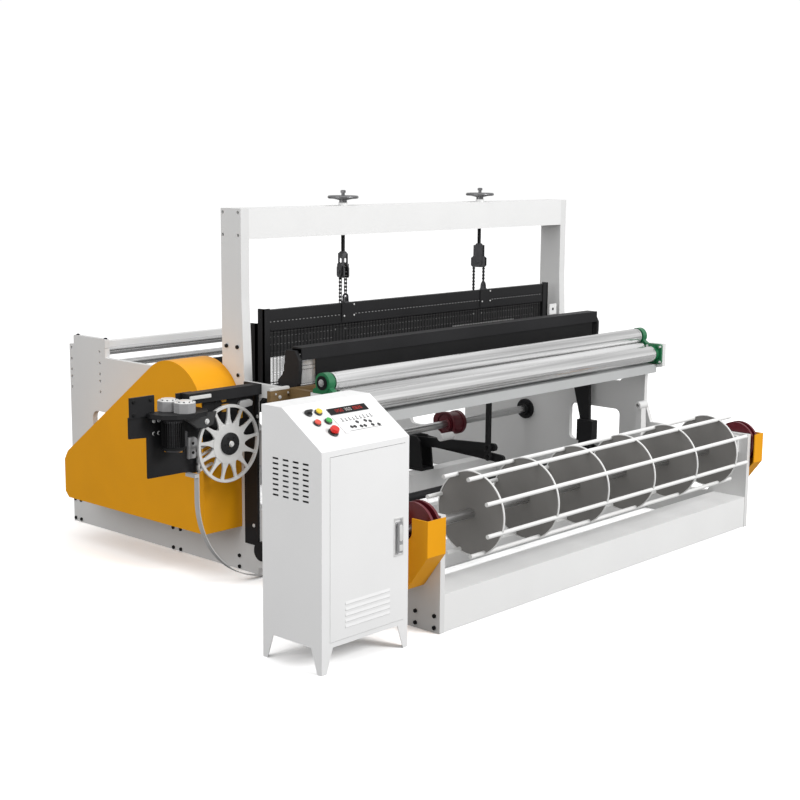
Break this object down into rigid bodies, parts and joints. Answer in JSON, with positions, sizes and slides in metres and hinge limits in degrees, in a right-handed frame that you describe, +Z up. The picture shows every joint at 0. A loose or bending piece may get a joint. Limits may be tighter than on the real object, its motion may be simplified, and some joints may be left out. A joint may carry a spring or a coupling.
{
  "type": "wire mesh weaving machine",
  "caption": "Wire mesh weaving machine with a handwheel gantry, heald frames, sley and reed, side rapier wheel, take-up reel stand and a free-standing control cabinet.",
  "frame": {"origin": "middle of the footprint on the floor", "axes": "+X along the rollers to the right of the take-up side, +Y from the take-up side to the warp side, +Z up"},
  "size_m": [3.41, 2.8705, 1.858],
  "materials": {
    "grey_paint": "satin light grey paint",
    "white_paint": "satin white paint",
    "cabinet_paint": "fine-textured white powder coat",
    "yellow_paint": "satin orange-yellow paint",
    "blue_paint": "satin blue paint",
    "green_paint": "gloss green paint",
    "black_paint": "semi-gloss black paint",
    "maroon_paint": "gloss dark red paint",
    "disc_grey": "matt mid grey paint",
    "rod_white": "satin white paint",
    "heald_metal": "dark satin paint",
    "plain_steel": "turned steel",
    "reed_steel": "fine steel reed",
    "zinc": "zinc-plated",
    "dark_metal": "blackened steel",
    "handle_metal": "satin steel",
    "chrome_roller": "polished chrome",
    "iron": "machined cast iron",
    "cast_aluminium": "cast and turned aluminium",
    "tan_plastic": "tan laminate",
    "belt_rubber": "matt black rubber",
    "gear_plastic": "grey plastic",
    "display_face": "gloss black and grey panel face",
    "black_plastic": "matt black plastic",
    "yellow_plastic": "gloss yellow plastic",
    "green_plastic": "gloss green plastic",
    "red_plastic": "gloss red plastic",
    "stop_plastic": "gloss red plastic"
  },
  "bodies": {
    "machine": {"side_frame_left": "grey_paint", "side_frame_right": "grey_paint", "gantry_beam": "white_paint", "cross_members": "grey_paint", "breast_beam": "grey_paint", "drive_guard": "yellow_paint", "drive_motor": "blue_paint", "drive_belt": "belt_rubber", "breast_roller_bearings": "green_paint", "take_up_bearings": "green_paint", "shaft_bearings": "black_paint", "warp_roller_brackets": "grey_paint", "warp_bar": "black_paint", "rapier_arm": "black_paint", "rapier_plate": "black_paint", "rapier_motor": "dark_metal", "tape_guide": "plain_steel", "shuttle_race": "tan_plastic", "stand_plates": "grey_paint", "stand_front_beam": "white_paint", "end_guards": "yellow_paint", "reel_bearings": "grey_paint", "tube_brackets": "grey_paint", "cabinet_body": "cabinet_paint", "control_gear": "gear_plastic", "display": "display_face", "treadle_box": "black_paint", "frame_bolts": "zinc", "chain_hangers": "dark_metal"},
    "door": {"cabinet_door": "cabinet_paint"},
    "door_grip": {"door_handle": "handle_metal"},
    "selector": {"selector_switch": "black_plastic"},
    "yellow_button": {"button_yellow": "yellow_plastic"},
    "green_button": {"button_green": "green_plastic"},
    "red_button": {"button_red": "red_plastic"},
    "stop_button": {"emergency_stop": "stop_plastic"},
    "breast_roll": {"breast_roller": "chrome_roller"},
    "middle_roll": {"middle_roller": "chrome_roller"},
    "take_up_roll": {"take_up_roller": "chrome_roller"},
    "warp_roll_upper": {"warp_roller_upper": "chrome_roller"},
    "warp_roll_lower": {"warp_roller_lower": "chrome_roller"},
    "crank": {"crank_shaft": "plain_steel", "main_pulley": "iron", "shedding_cams": "maroon_paint"},
    "motor_drive": {"motor_pulley": "iron"},
    "sley_body": {"sley": "black_paint", "reed": "reed_steel"},
    "front_healds": {"heald_frame_front": "heald_metal"},
    "rear_healds": {"heald_frame_rear": "heald_metal"},
    "left_sprocket": {"sprocket_left": "dark_metal"},
    "right_sprocket": {"sprocket_right": "dark_metal"},
    "left_handwheel": {"handwheel_left": "chrome_roller"},
    "right_handwheel": {"handwheel_right": "chrome_roller"},
    "front_treadle": {"treadle_front": "black_paint"},
    "rear_treadle": {"treadle_rear": "black_paint"},
    "rapier_disc": {"rapier_wheel": "cast_aluminium"},
    "reel": {"reel_shaft": "plain_steel", "reel_discs": "disc_grey", "reel_rods": "rod_white", "brake_drums": "maroon_paint"}
  },
  "joints": [
    {"name": "breast_roller_turn", "type": "hinge", "parent": "machine", "child": "breast_roll", "pos_m": [0.363, -0.56475, 1.004], "axis": [1, 0, 0], "continuous": true},
    {"name": "middle_roller_turn", "type": "hinge", "parent": "machine", "child": "middle_roll", "pos_m": [0.363, -0.61075, 0.942], "axis": [1, 0, 0], "continuous": true},
    {"name": "take_up_roller_turn", "type": "hinge", "parent": "machine", "child": "take_up_roll", "pos_m": [0.363, -0.68275, 0.912], "axis": [1, 0, 0], "continuous": true},
    {"name": "upper_warp_roller_turn", "type": "hinge", "parent": "machine", "child": "warp_roll_upper", "pos_m": [0.363, 1.26525, 0.965], "axis": [1, 0, 0], "continuous": true},
    {"name": "lower_warp_roller_turn", "type": "hinge", "parent": "machine", "child": "warp_roll_lower", "pos_m": [0.363, 1.15525, 0.907], "axis": [1, 0, 0], "continuous": true},
    {"name": "crank_turn", "type": "hinge", "parent": "machine", "child": "crank", "pos_m": [0.363, 0.24325, 0.472], "axis": [1, 0, 0], "continuous": true},
    {"name": "motor_turn", "type": "hinge", "parent": "machine", "child": "motor_drive", "pos_m": [-0.936, 0.60025, 0.392], "axis": [1, 0, 0], "continuous": true},
    {"name": "sley_swing", "type": "hinge", "parent": "machine", "child": "sley_body", "pos_m": [0.363, -0.26475, 0.258], "axis": [1, 0, 0], "range_deg": [-13.5, 0]},
    {"name": "front_heald_lift", "type": "slide", "parent": "machine", "child": "front_healds", "axis": [0, 0, 1], "range_m": [-0.075, 0]},
    {"name": "rear_heald_lift", "type": "slide", "parent": "machine", "child": "rear_healds", "axis": [0, 0, 1], "range_m": [0, 0.075]},
    {"name": "left_sprocket_turn", "type": "hinge", "parent": "machine", "child": "left_sprocket", "pos_m": [-0.188, 0.05525, 1.438], "axis": [-0.95, 0.3122, 0], "range_deg": [-144, 0]},
    {"name": "right_sprocket_turn", "type": "hinge", "parent": "machine", "child": "right_sprocket", "pos_m": [0.914, 0.05525, 1.438], "axis": [0.95, 0.3122, 0], "range_deg": [0, 144]},
    {"name": "front_treadle_swing", "type": "hinge", "parent": "machine", "child": "front_treadle", "pos_m": [1.012, 0.62025, 0.296], "axis": [1, 0, 0], "range_deg": [0, 7.3]},
    {"name": "rear_treadle_swing", "type": "hinge", "parent": "machine", "child": "rear_treadle", "pos_m": [1.089, 0.62025, 0.296], "axis": [1, 0, 0], "range_deg": [-8.1, 0]},
    {"name": "left_handwheel_turn", "type": "hinge", "parent": "machine", "child": "left_handwheel", "pos_m": [-0.188, 0.05525, 1.82], "axis": [0, 0, 1], "continuous": true},
    {"name": "right_handwheel_turn", "type": "hinge", "parent": "machine", "child": "right_handwheel", "pos_m": [0.914, 0.05525, 1.82], "axis": [0, 0, 1], "continuous": true},
    {"name": "rapier_wheel_turn", "type": "hinge", "parent": "machine", "child": "rapier_disc", "pos_m": [-1.151, -0.14475, 0.693], "axis": [0, 1, 0], "continuous": true},
    {"name": "reel_turn", "type": "hinge", "parent": "machine", "child": "reel", "pos_m": [0.363, -1.24225, 0.464], "axis": [1, 0, 0], "continuous": true},
    {"name": "door_swing", "type": "hinge", "parent": "machine", "child": "door", "pos_m": [-1.66, -1.35075, 0.5], "axis": [0, 0, 1], "range_deg": [-105, 0]},
    {"name": "door_handle_swing", "type": "hinge", "parent": "door", "child": "door_grip", "pos_m": [-1.267, -1.34925, 0.544], "axis": [1, 0, 0], "range_deg": [-70, 0]},
    {"name": "selector_turn", "type": "hinge", "parent": "machine", "child": "selector", "pos_m": [-1.607, -1.17045, 1.02034], "axis": [0, -0.553, 0.8332], "range_deg": [-45, 45]},
    {"name": "yellow_button_press", "type": "slide", "parent": "machine", "child": "yellow_button", "axis": [0, 0.553, -0.8332], "range_m": [0, 0.0035], "stiffness_N_per_m": 600, "springref_m": -0.002},
    {"name": "green_button_press", "type": "slide", "parent": "machine", "child": "green_button", "axis": [0, 0.553, -0.8332], "range_m": [0, 0.0035], "stiffness_N_per_m": 600, "springref_m": -0.002},
    {"name": "red_button_press", "type": "slide", "parent": "machine", "child": "red_button", "axis": [0, 0.553, -0.8332], "range_m": [0, 0.0035], "stiffness_N_per_m": 600, "springref_m": -0.002},
    {"name": "stop_button_press", "type": "slide", "parent": "machine", "child": "stop_button", "axis": [0, 0.553, -0.8332], "range_m": [0, 0.0025], "stiffness_N_per_m": 600, "springref_m": -0.002}
  ],
  "couplings": [
    {"joint": "motor_turn", "follows": "crank_turn", "ratio": 3.3065},
    {"joint": "rear_heald_lift", "follows": "front_heald_lift", "ratio": -1},
    {"joint": "left_sprocket_turn", "follows": "front_heald_lift", "rad_per_m": 33.333},
    {"joint": "right_sprocket_turn", "follows": "front_heald_lift", "rad_per_m": -33.333},
    {"joint": "front_treadle_swing", "follows": "front_heald_lift", "rad_per_m": -1.6811},
    {"joint": "rear_treadle_swing", "follows": "front_heald_lift", "rad_per_m": 1.863}
  ]
}
